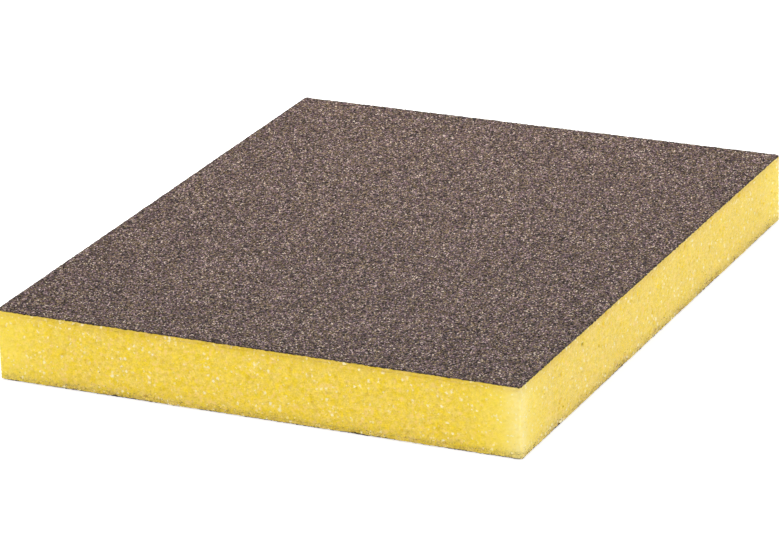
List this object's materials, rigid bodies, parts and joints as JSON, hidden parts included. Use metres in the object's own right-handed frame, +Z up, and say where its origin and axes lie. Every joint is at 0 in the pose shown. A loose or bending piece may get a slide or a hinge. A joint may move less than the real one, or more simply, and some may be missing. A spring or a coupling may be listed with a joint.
{
  "type": "double-sided sanding block",
  "caption": "Flat rectangular block of soft yellow foam with a brown abrasive coat on both broad faces, held in the hand for sanding.",
  "frame": {"origin": "centre of the underside, on the surface that the block lies on", "axes": "+X along the long side, +Y along the short side, +Z up through the thickness"},
  "size_m": [0.12, 0.098, 0.013],
  "materials": {
    "foam": "matte",
    "bond": "satin",
    "grit": "matte"
  },
  "bodies": {
    "lower_face": {"foam_core": "foam", "bottom_bond_coat": "bond", "bottom_grit_coat": "grit"},
    "upper_face": {"top_bond_coat": "bond", "top_grit_coat": "grit"}
  },
  "joints": [
    {"name": "foam_press", "type": "slide", "parent": "lower_face", "child": "upper_face", "axis": [0, 0, -1], "range_m": [0, 0.0042], "stiffness_N_per_m": 16000, "deforming": ["foam_core"]}
  ]
}
